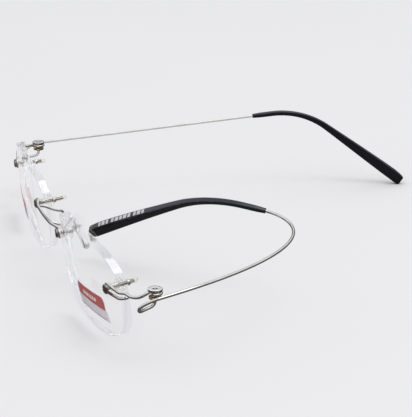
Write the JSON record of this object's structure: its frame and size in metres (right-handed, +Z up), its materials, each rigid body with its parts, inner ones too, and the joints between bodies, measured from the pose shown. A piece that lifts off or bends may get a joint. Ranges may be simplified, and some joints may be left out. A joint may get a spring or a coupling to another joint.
{
  "type": "rimless eyeglasses",
  "caption": "Rimless eyeglasses: drilled rounded-rectangular lenses joined by a wire bridge, clear nose pads, spool hinges and springy wire temples with dark tips, one flexed inwards.",
  "frame": {"origin": "On the resting plane, under the middle of the object as it stands in its rest pose.", "axes": "+X is the wearer's left, +Y runs from the lenses back along the temples, +Z is up."},
  "size_m": [0.142, 0.1323, 0.0256],
  "materials": {
    "lens": "clear, polished, coated lens",
    "label_red": "thin printed film",
    "label_grey": "thin printed film",
    "wire": "polished silver wire",
    "dark_steel": "dark polished steel",
    "brass": "warm metal bush",
    "clear_plastic": "clear soft plastic",
    "tip_plastic": "glossy black"
  },
  "bodies": {
    "front": {"left_lens": "lens", "left_label_upper": "label_red", "left_label_lower": "label_grey", "left_temporal_screw": "dark_steel", "left_temporal_sleeve": "clear_plastic", "left_temporal_washer": "clear_plastic", "left_temporal_nut": "dark_steel", "left_temporal_end_cap": "clear_plastic", "left_nasal_screw": "dark_steel", "left_nasal_sleeve": "clear_plastic", "left_nasal_washer": "clear_plastic", "left_end_piece": "wire", "left_hinge_barrel": "brass", "left_hinge_cap": "wire", "left_pad_arm": "wire", "left_pad_mount": "dark_steel", "right_lens": "lens", "right_label_upper": "label_red", "right_label_lower": "label_grey", "right_temporal_screw": "dark_steel", "right_temporal_sleeve": "clear_plastic", "right_temporal_washer": "clear_plastic", "right_temporal_nut": "dark_steel", "right_temporal_end_cap": "clear_plastic", "right_nasal_screw": "dark_steel", "right_nasal_sleeve": "clear_plastic", "right_nasal_washer": "clear_plastic", "right_nasal_nut": "dark_steel", "right_nasal_end_cap": "clear_plastic", "right_end_piece": "wire", "right_hinge_barrel": "brass", "right_hinge_cap": "wire", "right_pad_arm": "wire", "right_pad_mount": "dark_steel", "bridge_wire": "wire"},
    "right_temple": {"right_temple_wire": "wire", "right_temple_tip": "tip_plastic"},
    "left_temple": {"left_temple_wire_1": "wire"},
    "right_nose_pad": {"right_nose_pad": "clear_plastic"},
    "left_nose_pad": {"left_nose_pad": "clear_plastic"},
    "left_flex_1": {"left_temple_wire_2": "wire"},
    "left_flex_2": {"left_temple_wire_3": "wire"},
    "left_flex_3": {"left_temple_wire_4": "wire"},
    "left_flex_4": {"left_temple_wire_5": "wire"},
    "left_flex_5": {"left_temple_wire_6": "wire"},
    "left_flex_6": {"left_temple_wire_7": "wire", "left_temple_tip": "tip_plastic"}
  },
  "joints": [
    {"name": "right_temple_fold", "type": "hinge", "parent": "front", "child": "right_temple", "pos_m": [-0.0671, -0.05247, 0.0181], "axis": [0, 0, -1], "range_deg": [0, 62]},
    {"name": "left_temple_fold", "type": "hinge", "parent": "front", "child": "left_temple", "pos_m": [0.0671, -0.05247, 0.0181], "axis": [0, 0, -1], "range_deg": [0, 12]},
    {"name": "left_temple_flex_1", "type": "hinge", "parent": "left_temple", "child": "left_flex_1", "pos_m": [0.06763, -0.03895, 0.01939], "axis": [0.0296, 0.4565, -0.8892], "range_deg": [0, 19.12]},
    {"name": "left_temple_flex_2", "type": "hinge", "parent": "left_flex_1", "child": "left_flex_2", "pos_m": [0.05463, -0.01621, 0.02047], "axis": [-0.1771, 0.2511, -0.9516], "range_deg": [0, 24.23]},
    {"name": "left_temple_flex_3", "type": "hinge", "parent": "left_flex_2", "child": "left_flex_3", "pos_m": [0.04318, -0.00762, 0.02086], "axis": [-0.204, -0.0098, -0.9789], "range_deg": [0, 25.69]},
    {"name": "left_temple_flex_4", "type": "hinge", "parent": "left_flex_3", "child": "left_flex_4", "pos_m": [0.03646, -0.00625, 0.02133], "axis": [-0.1685, -0.1359, -0.9763], "range_deg": [0, 24.89]},
    {"name": "left_temple_flex_5", "type": "hinge", "parent": "left_flex_4", "child": "left_flex_5", "pos_m": [0.03233, -0.00722, 0.02186], "axis": [-0.1286, -0.1976, -0.9718], "range_deg": [0, 24.98]},
    {"name": "left_temple_flex_6", "type": "hinge", "parent": "left_flex_5", "child": "left_flex_6", "pos_m": [0.02975, -0.00926, 0.02246], "axis": [-0.0901, -0.2294, -0.9691], "range_deg": [0, 25.41]},
    {"name": "left_nose_pad_rock", "type": "hinge", "parent": "front", "child": "left_nose_pad", "pos_m": [0.00795, -0.05516, 0.01051], "axis": [0, 0, 1], "range_deg": [-8, 8]},
    {"name": "right_nose_pad_rock", "type": "hinge", "parent": "front", "child": "right_nose_pad", "pos_m": [-0.00795, -0.05516, 0.01051], "axis": [0, 0, 1], "range_deg": [-8, 8]}
  ]
}
